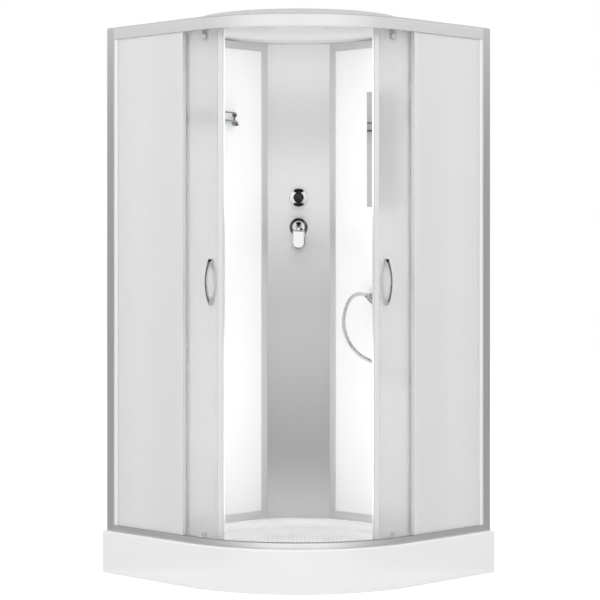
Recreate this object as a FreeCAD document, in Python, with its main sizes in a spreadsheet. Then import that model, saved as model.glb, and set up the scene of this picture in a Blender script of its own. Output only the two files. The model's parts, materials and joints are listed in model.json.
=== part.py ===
import FreeCAD, Part
import math
import os
import Sketcher
from types import SimpleNamespace

# Quadrant shower cabin: tray, curved rails, two sliding doors, back panels, water fittings and roof.
# Lengths are millimetres. In the room frame x runs along the left wall, y along the right wall and z up,
# from the corner where the walls meet. The cabin stands with its front towards -Y on the middle of its own box.

Vector = FreeCAD.Vector
Placement = FreeCAD.Placement
Rotation = FreeCAD.Rotation
X_AXIS = Vector(1, 0, 0)
Y_AXIS = Vector(0, 1, 0)
Z_AXIS = Vector(0, 0, 1)
ROOT2 = math.sqrt(2)
QUARTER = 90
DIAGONAL = 45
HALF_TURN = 180
FULL_TURN = 360
OVER = 1.0          # how far a cutting tool runs past the face that it opens
CLOSE = 0.01        # two places nearer than this are one
UPRIGHT = 0.99      # the least rise of an edge that counts as upright
BEND_SHARE = 0.45   # part of the shorter run that a bend of a hose takes up
FRONT_ON = Rotation(Vector(1, 1, 1), 120)   # turns a flat outline in x and y to y and z, facing x

SIZES = (
    # tray
    ("tray_side", 1000), ("front_radius", 550), ("tray_height", 150), ("tray_wall", 6), ("rim_width", 76),
    ("rim_round", 8), ("ledge_width", 44), ("ledge_height", 126), ("basin_floor", 96), ("basin_round", 22),
    ("basin_back_round", 340), ("basin_end_round", 60),
    # frame and feet under the tray
    ("tube", 25), ("tube_wall", 2), ("frame_near", 150), ("frame_margin", 120), ("foot_inset", 25),
    ("stud_radius", 6), ("stud_top", 80), ("nut_radius", 10), ("nut_height", 8),
    ("pad_radius", 24), ("pad_height", 6), ("pad_hub", 12), ("pad_hub_top", 14), ("stud_foot", 8),
    # drain
    ("drain_margin", 320), ("drain_clear", 200), ("drain_hole", 45), ("flange_bore", 36), ("flange_tube", 43),
    ("flange_lip", 56), ("flange_lip_height", 2.5), ("flange_drop", 34), ("gasket_height", 2),
    ("trap_flange", 58), ("trap_flange_height", 4), ("trap_radius", 52), ("trap_wall", 3), ("trap_bottom", 26),
    ("spigot_radius", 20), ("spigot_height", 48), ("spigot_length", 51), ("shoulder_radius", 24),
    ("shoulder_reach", 6), ("cover_radius", 52), ("cover_crown", 6.5), ("cover_sheet", 3),
    ("cover_skirt", 35), ("cover_skirt_drop", 18),
    # rails and wall profiles
    ("rail_inset", 20), ("rail_box", 18), ("rail_lip", 16), ("lip_thick", 3), ("bottom_rail_height", 21),
    ("bottom_lip_above", 3), ("rail_top", 1961), ("top_rail_height", 40), ("top_lip_above", 9),
    ("profile_width", 38), ("profile_wall", 2), ("glass", 5), ("glass_set", 6), ("slot_gap", 0.5),
    ("slot_depth", 12), ("rail_web", 3),
    # fixed panes
    ("pane_short", 47), ("gasket_width", 18), ("gasket_thick", 3), ("trim_width", 9), ("trim_wall", 2),
    ("fin_reach", 10), ("fin_thick", 1.5),
    # doors
    ("door_set", 40), ("door_width", 455), ("door_seal_width", 22), ("seal_nose", 12), ("seal_wall", 2.5),
    ("seal_gap", 0.3), ("door_top_clear", 3), ("door_bottom_clear", 4), ("lead_roller", 79),
    ("roller_span", 201), ("rest_roller", 363), ("seat_gap", 0.4),
    # running gear
    ("wheel_radius", 10), ("wheel_width", 6), ("wheel_ease", 1), ("wheel_gap", 0.3), ("axle_radius", 4),
    ("axle_fit", 0.05),
    ("lead_wheel_set", 24.5), ("trail_wheel_set", 33), ("hanger_thick", 4), ("hanger_width", 24),
    ("hanger_drop", 40), ("hanger_rise", 9), ("bolt_drop", 24), ("bolt_cap", 8), ("bolt_cap_thick", 3),
    ("bolt_fit", 0.2), ("axle_cap", 1.5), ("guide_wheel", 7), ("guide_axle", 2.5), ("guide_thick", 3),
    ("guide_width", 18), ("guide_top", 186), ("guide_bolt", 177), ("guide_cap", 6.5), ("stop_length", 12),
    ("stop_height", 14), ("stop_gap", 0.4),
    # handles
    ("handle_place", 53), ("handle_height", 1051), ("handle_span", 147), ("handle_reach", 33),
    ("handle_foot", 16), ("handle_foot_half", 8), ("handle_grip", 7), ("handle_grip_half", 3.5),
    ("handle_stud", 3), ("stud_sink", 4),
    # back panels and column
    ("frame_back", 18), ("frame_face", 40), ("frame_bar", 30), ("frame_start", 200), ("frame_post", 40),
    ("panel_back", 30), ("panel_thick", 6), ("panel_tuck", 10), ("groove_gap", 0.2),
    ("column_face", 177.5), ("column_thick", 6), ("column_gap", 0.3), ("neck_hole", 16),
    # water fittings on the column
    ("mixer_height", 1252), ("diverter_rise", 115), ("plate_radius", 37.5), ("plate_thick", 6),
    ("plate_edge", 2), ("neck_radius", 14), ("neck_fit", 0.3), ("cap_radius", 24),
    ("cap_collar", 9), ("ball_radius", 22), ("ball_lift", 12), ("shell_gap", 0.4), ("shell_thick", 4.6),
    ("shell_angle", 60), ("lever_drop", 85), ("lever_root", 15), ("lever_half_root", 23),
    ("lever_half_end", 24), ("lever_set", 17), ("lever_thick", 8), ("lever_round", 22), ("lever_tilt", 10),
    ("knob_radius", 21.5), ("knob_length", 24), ("knob_band", 8), ("knob_crown", 4), ("knob_waist", 19), ("valve_half", 45),
    ("valve_back", 70), ("valve_front", 20), ("valve_below", 27), ("valve_above", 28), ("inlet_radius", 10.4),
    ("inlet_length", 20), ("inlet_place", 28),
    # outlet, hose and hand shower on the right wall
    ("outlet_place", 447), ("outlet_level", 978), ("outlet_tilt", 15), ("outlet_base", 24.5), ("outlet_tip", 9),
    ("outlet_reach", 44), ("outlet_swell", 90), ("outlet_stub", 9), ("outlet_stub_back", 16), ("nut_bore", 9.5),
    ("nut_length", 14), ("hose_lead", 59), ("pipe_radius", 5), ("pipe_bend", 14), ("pipe_level", 1330),
    ("pipe_depth", 10), ("hose_radius", 6.5),
    ("shower_margin", 242), ("shower_out", 92), ("cone_bottom", 1392), ("cone_length", 44), ("cone_low", 8),
    ("cone_high", 12), ("socket_low", 10), ("socket_length", 24), ("socket_wall", 7), ("socket_gap", 0.4),
    ("bracket_half", 17), ("bracket_plate", 6), ("bracket_drop", 12), ("bracket_rise", 40), ("bracket_arm", 9),
    ("handle_low", 12), ("handle_mid", 14), ("handle_neck", 10.5), ("grip_length", 160), ("head_radius", 46),
    ("head_thick", 20), ("head_back", 23), ("head_out", 46), ("head_rise", 44), ("head_tilt", 125),
    ("face_radius", 38), ("face_thick", 3),
    # shelf and mirror
    ("shelf_place", 378), ("shelf_length", 300), ("shelf_bulge", 100), ("shelf_level", 1645),
    ("shelf_thick", 6), ("gallery_rise", 28), ("gallery_wire", 3), ("gallery_knob", 9),
    ("gallery_knob_depth", 9), ("gallery_inset", 6), ("mirror_width", 167), ("mirror_low", 1328),
    ("mirror_height", 436), ("mirror_thick", 5),
    # roof
    ("roof_inset", 22), ("roof_sheet", 4), ("dome_base", 425), ("dome_top", 372), ("dome_rise", 37),
    ("dome_crown", 25),
)


class Size:
    """A length or an angle: its value now, and the formula that the document keeps for it."""

    def __init__(self, value, formula):
        self.value = value
        self.formula = formula

    def __add__(self, other):
        return Size(self.value + value(other), f"({self.formula} + {formula(other)})")

    def __radd__(self, other):
        return Size(value(other) + self.value, f"({formula(other)} + {self.formula})")

    def __sub__(self, other):
        return Size(self.value - value(other), f"({self.formula} - {formula(other)})")

    def __rsub__(self, other):
        return Size(value(other) - self.value, f"({formula(other)} - {self.formula})")

    def __mul__(self, other):
        return Size(self.value * value(other), f"({self.formula} * {formula(other)})")

    def __rmul__(self, other):
        return self * other

    def __truediv__(self, other):
        return Size(self.value / value(other), f"({self.formula} / {formula(other)})")

    def __neg__(self):
        return Size(-self.value, f"(-{self.formula})")


def value(size):
    return size.value if isinstance(size, Size) else float(size)


def formula(size):
    return size.formula if isinstance(size, Size) else f"({float(size)!r})"


ZERO = Size(0.0, "0")


doc = FreeCAD.newDocument("ShowerCabin")
sheet = doc.addObject("Spreadsheet::Sheet", "Sizes")
for row, (name, number) in enumerate(SIZES, start=1):
    sheet.set(f"A{row}", name)
    sheet.set(f"B{row}", str(number))
    sheet.setAlias(f"B{row}", name)
doc.recompute()
s = SimpleNamespace(**{name: Size(float(number), f"Sizes.{name}") for name, number in SIZES})
parts = []


# Small tools that make and place document objects

def bind(thing, **sizes):
    """Sets properties and keeps their formulas."""
    for name, size in sizes.items():
        setattr(thing, name, value(size))
        if isinstance(size, Size):
            thing.setExpression(name, size.formula)


def put(thing, x, y, z, turn=Rotation()):
    """Places an object, with its base point bound to the sheet."""
    thing.Placement = Placement(Vector(value(x), value(y), value(z)), turn)
    for axis, size in (("x", x), ("y", y), ("z", z)):
        if isinstance(size, Size):
            thing.setExpression(f"Placement.Base.{axis}", size.formula)
    return thing


def box(x0, x1, y0, y1, z0, z1):
    block = doc.addObject("Part::Box", "Block")
    bind(block, Length=x1 - x0, Width=y1 - y0, Height=z1 - z0)
    return put(block, x0, y0, z0)


def column(radius, x, y, z0, z1, angle=FULL_TURN):
    """An upright cylinder, or a sector of one that starts at +x."""
    round_bar = doc.addObject("Part::Cylinder", "Round")
    bind(round_bar, Radius=radius, Height=z1 - z0, Angle=angle)
    return put(round_bar, x, y, z0)


TURNS = {
    "x": Rotation(Y_AXIS, 90), "-x": Rotation(Y_AXIS, -90), "y": Rotation(X_AXIS, -90),
    "-y": Rotation(X_AXIS, 90), "z": Rotation(), "-z": Rotation(X_AXIS, 180),
}


def rod(radius, axis, x, y, z, length):
    """A cylinder that starts at a point and runs along an axis."""
    bar = doc.addObject("Part::Cylinder", "Rod")
    bind(bar, Radius=radius, Height=length)
    return put(bar, x, y, z, TURNS[axis])


def spoke(radius, start, length, angle, z):
    """A rod that runs outwards at an angle about the upright axis, from a distance off it."""
    bar = doc.addObject("Part::Cylinder", "Spoke")
    bind(bar, Radius=radius, Height=length)
    turn = Rotation(Z_AXIS, angle)
    base = turn.multVec(Vector(value(start), 0, value(z)))
    bar.Placement = Placement(base, turn.multiply(TURNS["x"]))
    return bar


def fuse(*pieces):
    joined = doc.addObject("Part::MultiFuse", "Joined")
    joined.Shapes = list(pieces)
    joined.Refine = True
    return joined


def cut(base, *tools):
    opened = doc.addObject("Part::Cut", "Opened")
    opened.Base = base
    opened.Tool = tools[0] if len(tools) == 1 else fuse(*tools)
    opened.Refine = True
    return opened


def common(first, second):
    shared = doc.addObject("Part::Common", "Shared")
    shared.Base = first
    shared.Tool = second
    return shared


def group(*pieces):
    """Separate solids that share a node."""
    bundle = doc.addObject("Part::Compound", "Bundle")
    bundle.Links = list(pieces)
    return bundle


def rounded(solid, radius, chosen):
    """Rounds the edges that pass a test."""
    doc.recompute()
    fillet = doc.addObject("Part::Fillet", "Rounded")
    fillet.Base = solid
    edges = enumerate(solid.Shape.Edges, start=1)
    fillet.Edges = [(i, radius.value, radius.value) for i, edge in edges if chosen(edge)]
    return fillet


def middle(edge):
    return edge.valueAt((edge.FirstParameter + edge.LastParameter) / 2)


def finish(thing, label, place=Placement()):
    """Names a sub-part and stands it in its place. A block whose own place is bound goes in a bundle first."""
    if thing.TypeId == "Part::Box":
        thing = group(thing)
    thing.Label = label
    thing.Placement = place.multiply(thing.Placement)
    parts.append(thing)
    return thing


def mirrored(right, label):
    """The left-hand twin of a right-hand piece."""
    twin = doc.addObject("Part::Mirroring", "Twin")
    twin.Source = right
    twin.Base = Vector(0, 0, 0)
    twin.Normal = X_AXIS
    return finish(twin, label)


def pair(right, name, place=Placement()):
    mirrored(finish(right, f"right_{name}", place), f"left_{name}")


def body_sketch(body, plane, lift=0):
    """A sketch on one of a body's own planes, lifted along the plane's normal."""
    sketch = body.newObject("Sketcher::SketchObject", "Outline")
    support = [feature for feature in body.Origin.OriginFeatures if feature.Role == plane][0]
    sketch.AttachmentSupport = [(support, "")]
    sketch.MapMode = "FlatFace"
    sketch.AttachmentOffset = Placement(Vector(0, 0, value(lift)), Rotation())
    if isinstance(lift, Size):
        sketch.setExpression("AttachmentOffset.Base.z", lift.formula)
    return sketch


def arc_between(start, end, radius):
    """The arc of less than half a circle from start to end, turning left where the radius is positive."""
    chord = end - start
    rise = abs(radius) - math.sqrt(radius * radius - chord.Length * chord.Length / 4)
    side = Vector(chord.y, -chord.x, 0).normalize() * math.copysign(rise, radius)
    return Part.Arc(start, (start + end) / 2 + side, end)


def outline(sketch, points):
    """A closed outline. A point's third value is the radius of the arc after it, positive to the left."""
    spots = [Vector(value(point[0]), value(point[1]), 0) for point in points]
    ends = spots[1:] + spots[:1]
    first = []
    for point, start, end in zip(points, spots, ends):
        if len(point) == 3:
            sketch.addGeometry(arc_between(start, end, value(point[2])), False)
            first.append(1 if value(point[2]) > 0 else 2)
        else:
            sketch.addGeometry(Part.LineSegment(start, end), False)
            first.append(1)
    count = len(points)
    for i in range(count):
        following = (i + 1) % count
        sketch.addConstraint(Sketcher.Constraint("Coincident", i, 3 - first[i], following, first[following]))
    for i, point in enumerate(points):
        for kind, size, axis in (("DistanceX", point[0], -2), ("DistanceY", point[1], -1)):
            if isinstance(size, Size):
                index = sketch.addConstraint(Sketcher.Constraint(kind, -1, 1, i, first[i], size.value))
                sketch.setExpression(f"Constraints[{index}]", size.formula)
            else:
                sketch.addConstraint(Sketcher.Constraint("PointOnObject", i, first[i], axis))
        if len(point) == 3:
            radius = point[2] if value(point[2]) > 0 else -point[2]
            index = sketch.addConstraint(Sketcher.Constraint("Radius", i, value(radius)))
            sketch.setExpression(f"Constraints[{index}]", formula(radius))


def turned(points):
    """A piece turned about its upright axis, from an outline in radius and height."""
    body = doc.addObject("PartDesign::Body", "Turned")
    sketch = body_sketch(body, "XZ_Plane")
    outline(sketch, points)
    spin = body.newObject("PartDesign::Revolution", "Spin")
    spin.Profile = sketch
    spin.ReferenceAxis = (sketch, ["V_Axis"])
    spin.Angle = FULL_TURN
    return body


def plate(points, z0, z1):
    """A flat piece with an outline in x and y."""
    body = doc.addObject("PartDesign::Body", "Plate")
    sketch = body_sketch(body, "XY_Plane", z0)
    outline(sketch, points)
    pad = body.newObject("PartDesign::Pad", "Thickness")
    pad.Profile = sketch
    bind(pad, Length=z1 - z0)
    return body


def bent_path(points, bend=None):
    """Straight runs joined by tangent arcs, of one bend radius or as large as the runs allow."""
    edges = []
    radii = []
    last = points[0]
    for before, corner, after in zip(points, points[1:], points[2:]):
        way_in = (corner - before).normalize()
        way_out = (after - corner).normalize()
        half_turn = way_in.getAngle(way_out) / 2
        shorter = min((corner - before).Length, (after - corner).Length)
        radius = bend or BEND_SHARE * shorter / math.tan(half_turn)
        setback = radius * math.tan(half_turn)
        start = corner - way_in * setback
        end = corner + way_out * setback
        inward = (way_out - way_in).normalize()
        crown = corner + inward * (radius / math.cos(half_turn) - radius)
        edges.append(Part.LineSegment(last, start).toShape())
        edges.append(Part.Arc(start, crown, end).toShape())
        radii.append(radius)
        last = end
    edges.append(Part.LineSegment(last, points[-1]).toShape())
    return Part.Wire(edges), radii


def tube(points, radius, bend=None):
    """A round bar along a bent path."""
    path, radii = bent_path(points, bend)
    ring = Part.Wire(Part.Circle(points[0], points[1] - points[0], radius).toShape())
    bar = doc.addObject("Part::Feature", "Tube")
    bar.Shape = path.makePipeShell([ring], True, False)
    return bar, path.Length, radii


# Places that the pieces share

corner_y = (ROOT2 * (s.tray_side - s.front_radius) + s.front_radius) / 2
arc_centre = s.tray_side - s.front_radius
ROOM = Placement(Vector(0, corner_y.value, 0), Rotation(Z_AXIS, HALF_TURN + DIAGONAL))
COLUMN = Placement(Vector(0, (corner_y - s.column_face).value, 0), Rotation())
rail_face = s.tray_side - s.rail_inset
lip_end = s.rail_box + s.rail_lip
bottom_rail_top = s.tray_height + s.bottom_rail_height
bottom_lip_top = s.tray_height + s.bottom_lip_above + s.lip_thick
top_rail_bottom = s.rail_top - s.top_rail_height
top_lip_bottom = top_rail_bottom + s.top_lip_above
top_lip_top = top_lip_bottom + s.lip_thick
panel_face = s.panel_back + s.panel_thick
frame_end = rail_face - lip_end
frame_reach = s.tray_side - s.frame_margin
foot_reach = frame_reach - s.foot_inset
drain_place = s.tray_side - s.drain_margin
frame_mid = drain_place - s.drain_clear
diverter_height = s.mixer_height + s.diverter_rise
shower_place = s.tray_side - s.shower_margin


def at_column(height):
    """Stands a turned piece on the column's face with its axis towards the user."""
    return COLUMN.multiply(Placement(Vector(0, 0, height.value), TURNS["-y"]))


def quadrant(front, back, z0, z1):
    """The cabin's outline as a prism, drawn in on the room side and on the wall sides."""
    far = s.tray_side - front
    return fuse(
        box(back, far, back, arc_centre, z0, z1),
        box(back, arc_centre, arc_centre, far, z0, z1),
        column(s.front_radius - front, arc_centre, arc_centre, z0, z1, QUARTER))


def ring(front0, front1, z0, z1, end):
    """A strip along the room side, straight, round and straight, between two distances from the tray's edge."""
    bend = cut(
        column(s.front_radius - front0, arc_centre, arc_centre, z0, z1, QUARTER),
        column(s.front_radius - front1, arc_centre, arc_centre, z0 - OVER, z1 + OVER))
    near = s.tray_side - front1
    far = s.tray_side - front0
    return fuse(bend, box(end, arc_centre, near, far, z0, z1), box(near, far, end, arc_centre, z0, z1))


def rail_strip(depth0, depth1, z0, z1):
    """A strip of a rail between two depths behind its outer face."""
    return ring(s.rail_inset + depth0, s.rail_inset + depth1, z0, z1, s.profile_width)


# Tray

def make_tray():
    slab = quadrant(ZERO, ZERO, ZERO, s.tray_height)
    top = s.tray_height.value

    def front_rim(edge):
        spot = middle(edge)
        return abs(spot.z - top) < CLOSE and spot.x > OVER and spot.y > OVER

    def back_corner(edge):
        spot = middle(edge)
        return edge.Length < 2 * top and max(spot.x, spot.y) < s.ledge_width.value + OVER

    def end_corner(edge):
        spot = middle(edge)
        upright = abs(edge.tangentAt(edge.FirstParameter).z) > UPRIGHT
        return upright and min(spot.x, spot.y) < s.ledge_width.value + OVER

    def basin_foot(edge):
        return abs(edge.BoundBox.ZMax - s.basin_floor.value) < CLOSE

    slab = rounded(slab, s.rim_round, front_rim)
    basin = quadrant(s.rim_width, s.ledge_width, s.basin_floor, s.tray_height + OVER)
    basin = rounded(basin, s.basin_back_round, lambda edge: end_corner(edge) and back_corner(edge))
    basin = rounded(basin, s.basin_end_round, end_corner)
    basin = rounded(basin, s.basin_round, basin_foot)
    ledge_corner = s.ledge_width + s.basin_back_round
    under = s.basin_floor - s.tray_wall
    before = ZERO - OVER
    tray = cut(
        slab, basin,
        box(before, frame_end, before, s.ledge_width, s.ledge_height, s.tray_height + OVER),
        box(before, s.ledge_width, before, frame_end, s.ledge_height, s.tray_height + OVER),
        box(before, ledge_corner, before, ledge_corner, s.ledge_height, s.tray_height + OVER),
        quadrant(s.tray_wall, before, before, under),
        ring(s.tray_wall, s.rim_width - s.tray_wall, under - OVER, s.tray_height - s.tray_wall, s.tray_wall),
        column(s.drain_hole, drain_place, drain_place, under - OVER, s.basin_floor + OVER))
    finish(tray, "tray", ROOM)


def square_tube(axis, start, end, across, low):
    """A square tube along x or y, with its middle line at a distance across."""
    half = s.tube / 2
    bore = half - s.tube_wall
    if axis == "x":
        outer = box(start, end, across - half, across + half, low, low + s.tube)
        inner = box(start - OVER, end + OVER, across - bore, across + bore, low + s.tube_wall,
                    low + s.tube - s.tube_wall)
    else:
        outer = box(across - half, across + half, start, end, low, low + s.tube)
        inner = box(across - bore, across + bore, start - OVER, end + OVER, low + s.tube_wall,
                    low + s.tube - s.tube_wall)
    return cut(outer, inner)


def make_frame_and_feet():
    low = s.basin_floor - s.tray_wall - s.tube
    half = s.tube / 2
    inner_start = s.frame_near - half
    tubes = [
        square_tube("x", inner_start, frame_reach, s.frame_near, low),
        square_tube("y", s.frame_near + half, frame_reach, s.frame_near, low),
        square_tube("x", s.frame_near + half, frame_reach, frame_mid, low),
        square_tube("y", frame_mid + half, frame_reach, frame_mid, low),
    ]
    feet = [
        (s.frame_near, s.frame_near), (foot_reach, s.frame_near), (s.frame_near, foot_reach),
        (foot_reach, frame_mid), (frame_mid, foot_reach),
    ]
    holes = []
    studs = []
    pads = []
    for x, y in feet:
        holes.append(column(s.stud_radius + s.bolt_fit, x, y, low - OVER, low + s.tube_wall + OVER))
        studs.append(fuse(
            column(s.stud_radius, x, y, s.stud_foot, s.stud_top),
            column(s.nut_radius, x, y, low - s.nut_height, low)))
        pads.append(cut(
            fuse(column(s.pad_radius, x, y, ZERO, s.pad_height),
                 column(s.pad_hub, x, y, s.pad_height, s.pad_hub_top)),
            column(s.stud_radius + s.bolt_fit, x, y, s.stud_foot, s.pad_hub_top + OVER)))
    finish(cut(fuse(*tubes), *holes), "tray_frame", ROOM)
    finish(group(*studs), "foot_studs", ROOM)
    finish(group(*pads), "foot_pads", ROOM)


def make_drain():
    spot = ROOM.multiply(Placement(Vector(drain_place.value, drain_place.value, 0), Rotation()))
    floor = s.basin_floor
    lip_top = floor + s.flange_lip_height
    foot = floor - s.flange_drop
    finish(turned([
        (s.flange_bore, foot), (s.flange_tube, foot), (s.flange_tube, floor), (s.flange_lip, floor),
        (s.flange_lip, floor + s.flange_lip_height / 2), (s.flange_lip - s.flange_lip_height / 2, lip_top),
        (s.flange_bore, lip_top)]), "drain_flange", spot)
    under = floor - s.tray_wall
    seat = under - s.gasket_height
    finish(turned([
        (s.drain_hole, seat), (s.trap_flange, seat), (s.trap_flange, under), (s.drain_hole, under)]),
        "drain_gasket", spot)
    neck = seat - s.trap_flange_height
    cup = turned([
        (0, s.trap_bottom), (s.trap_radius, s.trap_bottom), (s.trap_radius, neck), (s.trap_flange, neck),
        (s.trap_flange, seat), (s.drain_hole, seat), (s.drain_hole, neck),
        (s.trap_radius - s.trap_wall, neck), (s.trap_radius - s.trap_wall, s.trap_bottom + s.trap_wall),
        (0, s.trap_bottom + s.trap_wall)])
    start = s.trap_wall - s.trap_radius
    shoulder_length = s.trap_wall + s.shoulder_reach
    reach = shoulder_length + s.spigot_length
    spigot = fuse(
        rod(s.shoulder_radius, "-x", start, ZERO, s.spigot_height, shoulder_length),
        rod(s.spigot_radius, "-x", start, ZERO, s.spigot_height, reach))
    bore = rod(s.spigot_radius - s.trap_wall, "-x", start + s.trap_wall * 2, ZERO, s.spigot_height,
               reach + s.trap_wall * 3)
    shield = column(s.trap_radius - s.trap_wall, ZERO, ZERO, s.trap_bottom + s.trap_wall, neck)
    finish(cut(fuse(cup, cut(spigot, shield)), bore), "drain_trap", spot)
    rim = lip_top + s.cover_sheet / 2
    crown = lip_top + s.cover_crown
    dome = (s.cover_radius * s.cover_radius + (crown - rim) * (crown - rim)) / (2 * (crown - rim))
    skirt_foot = lip_top - s.cover_skirt_drop
    skirt_bore = s.cover_skirt - s.cover_sheet
    finish(turned([
        (skirt_bore, skirt_foot), (s.cover_skirt, skirt_foot), (s.cover_skirt, lip_top),
        (s.cover_radius, lip_top), (s.cover_radius, rim, dome), (0, crown), (0, crown - s.cover_sheet),
        (skirt_bore, lip_top)]),
        "drain_cover", spot)


# Rails, wall profiles and fixed panes

def make_rails():
    slot_near = s.glass_set - s.slot_gap
    slot_far = s.glass_set + s.glass + s.slot_gap
    bottom = cut(
        rail_strip(ZERO, s.rail_box, s.tray_height, bottom_rail_top),
        rail_strip(slot_near, slot_far, bottom_rail_top - s.slot_depth, bottom_rail_top + OVER))
    bottom_lip = rail_strip(s.rail_box, lip_end, bottom_lip_top - s.lip_thick, bottom_lip_top)
    finish(fuse(bottom, bottom_lip), "bottom_rail", ROOM)
    slot_roof = top_rail_bottom + s.slot_depth
    top = cut(
        rail_strip(ZERO, s.rail_box, top_rail_bottom, s.rail_top),
        rail_strip(slot_near, slot_far, top_rail_bottom - OVER, slot_roof),
        rail_strip(s.profile_wall, s.rail_box - s.profile_wall, slot_roof + s.rail_web, s.rail_top + OVER))
    top_lip = rail_strip(s.rail_box, lip_end, top_lip_bottom, top_lip_top)
    finish(fuse(top, top_lip), "top_rail", ROOM)


def make_fixed_side():
    pane_near = rail_face - s.glass_set - s.glass
    pane_far = rail_face - s.glass_set
    slot_start = s.profile_width - s.slot_depth
    post = cut(
        box(ZERO, s.profile_width, frame_end, rail_face, s.tray_height, s.rail_top),
        box(s.profile_wall, slot_start - s.profile_wall, frame_end + s.profile_wall, rail_face - s.profile_wall,
            s.tray_height - OVER, s.rail_top + OVER),
        box(slot_start, s.profile_width + OVER, pane_near - s.slot_gap, pane_far + s.slot_gap,
            s.tray_height - OVER, s.rail_top + OVER))
    pair(post, "wall_profile", ROOM)
    pane_end = arc_centre - s.pane_short
    low = bottom_rail_top - s.slot_depth
    high = top_rail_bottom + s.slot_depth - s.slot_gap
    pair(box(slot_start, pane_end, pane_near, pane_far, low, high), "fixed_glass", ROOM)
    pair(box(s.profile_width, s.profile_width + s.gasket_width, pane_far, pane_far + s.gasket_thick,
             bottom_rail_top, top_rail_bottom), "glass_gasket", ROOM)
    trim_start = pane_end - s.trim_width + s.trim_wall
    trim_end = pane_end + s.trim_wall
    trim = fuse(
        box(trim_start, trim_end, pane_near - s.trim_wall, pane_far + s.trim_wall, bottom_rail_top,
            top_rail_bottom),
        box(trim_end - s.fin_thick, trim_end, pane_near - s.fin_reach, pane_near, bottom_rail_top,
            top_rail_bottom))
    pair(cut(trim, box(trim_start - OVER, pane_end, pane_near, pane_far, bottom_rail_top - OVER,
                       top_rail_bottom + OVER)), "fixed_edge_seal", ROOM)


# Doors, drawn closed about the centre of the curve and then run back along the rails to where they stand open

rail_radius = s.front_radius - s.rail_inset
door_outer = rail_radius - s.door_set
door_inner = door_outer - s.glass
door_low = bottom_lip_top + s.door_bottom_clear
door_high = top_lip_bottom - s.door_top_clear
track_radius = rail_radius.value - (s.lead_wheel_set.value + s.trail_wheel_set.value) / 2
lead_angle = math.degrees(s.lead_roller.value / door_outer.value)
trail_angle = lead_angle + 2 * math.degrees(math.asin(s.roller_span.value / 2 / track_radius))


def on_track(angle):
    """A point of the round track in the room frame, at an angle from the cabin's diagonal."""
    turn = math.radians(DIAGONAL + angle)
    centre = arc_centre.value
    return Vector(centre + track_radius * math.cos(turn), centre + track_radius * math.sin(turn), 0)


def open_door():
    """Moves a closed right door until its front roller is on the curve and its rear one on the straight."""
    lead_closed = on_track(lead_angle)
    lead_open = on_track(math.degrees(s.rest_roller.value / track_radius))
    straight = arc_centre.value + track_radius
    rise = straight - lead_open.y
    span = (on_track(trail_angle) - lead_closed).Length
    trail_open = Vector(lead_open.x - math.sqrt(span * span - rise * rise), straight, 0)
    closed_way = on_track(trail_angle) - lead_closed
    open_way = trail_open - lead_open
    turn = math.atan2(open_way.y, open_way.x) - math.atan2(closed_way.y, closed_way.x)
    swing = Rotation(Z_AXIS, math.degrees(turn))
    shift = lead_open - swing.multVec(lead_closed)
    half = shift / 2
    reach = half.Length / math.tan(turn / 2)
    pole = half + Vector(-shift.y, shift.x, 0).normalize() * reach
    return Placement(shift, swing), trail_open, math.degrees(turn), ROOM.multVec(pole)


DOOR, trail_open, door_turn, door_pole = open_door()


def on_door(angle):
    """A frame on the open right door: x outwards, z up, at an angle from the door's meeting line."""
    about = Placement(Vector(arc_centre.value, arc_centre.value, 0), Rotation(Z_AXIS, DIAGONAL + angle))
    return ROOM.multiply(DOOR).multiply(about)


def shell_sector(inner, outer, angle, z0, z1):
    return cut(column(outer, ZERO, ZERO, z0, z1, angle), column(inner, ZERO, ZERO, z0 - OVER, z1 + OVER))


def degrees_along(length):
    """The angle that a length along the door's outer face takes up."""
    return Size(math.degrees(value(length) / door_outer.value),
                f"({formula(length)} / {door_outer.formula} * 180 / pi)")


def make_door():
    glass_start = degrees_along(s.seal_gap + s.seal_nose)
    glass_span = degrees_along(s.door_width) - glass_start
    pane = shell_sector(door_inner, door_outer, glass_span, door_low, door_high)
    hole_start = door_inner - s.glass
    hole_length = s.glass * 3
    holes = []
    for angle in (lead_angle, trail_angle):
        along = angle - glass_start.value
        holes.append(spoke(s.axle_radius + s.bolt_fit, hole_start, hole_length, along, door_high - s.bolt_drop))
        holes.append(spoke(s.handle_stud + s.bolt_fit, hole_start, hole_length, along, s.guide_bolt))
    for level in (s.handle_height - s.handle_span / 2, s.handle_height + s.handle_span / 2):
        along = value(degrees_along(s.handle_place) - glass_start)
        holes.append(spoke(s.handle_stud + s.bolt_fit, hole_start, hole_length, along, level))
    pair(cut(pane, *holes), "door_glass", on_door(glass_start.value))
    seal_start = degrees_along(s.seal_gap)
    strip = shell_sector(door_inner - s.seal_wall, door_outer + s.seal_wall, degrees_along(s.door_seal_width),
                         door_low, door_high)
    bite = shell_sector(door_inner, door_outer, glass_span, door_low - OVER, door_high + OVER)
    bite.Placement = Placement(Vector(), Rotation(Z_AXIS, value(glass_start - seal_start)))
    pair(cut(strip, bite), "edge_seal", on_door(seal_start.value))
    pair(make_handles(), "handles", on_door(value(degrees_along(s.handle_place))))


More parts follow.
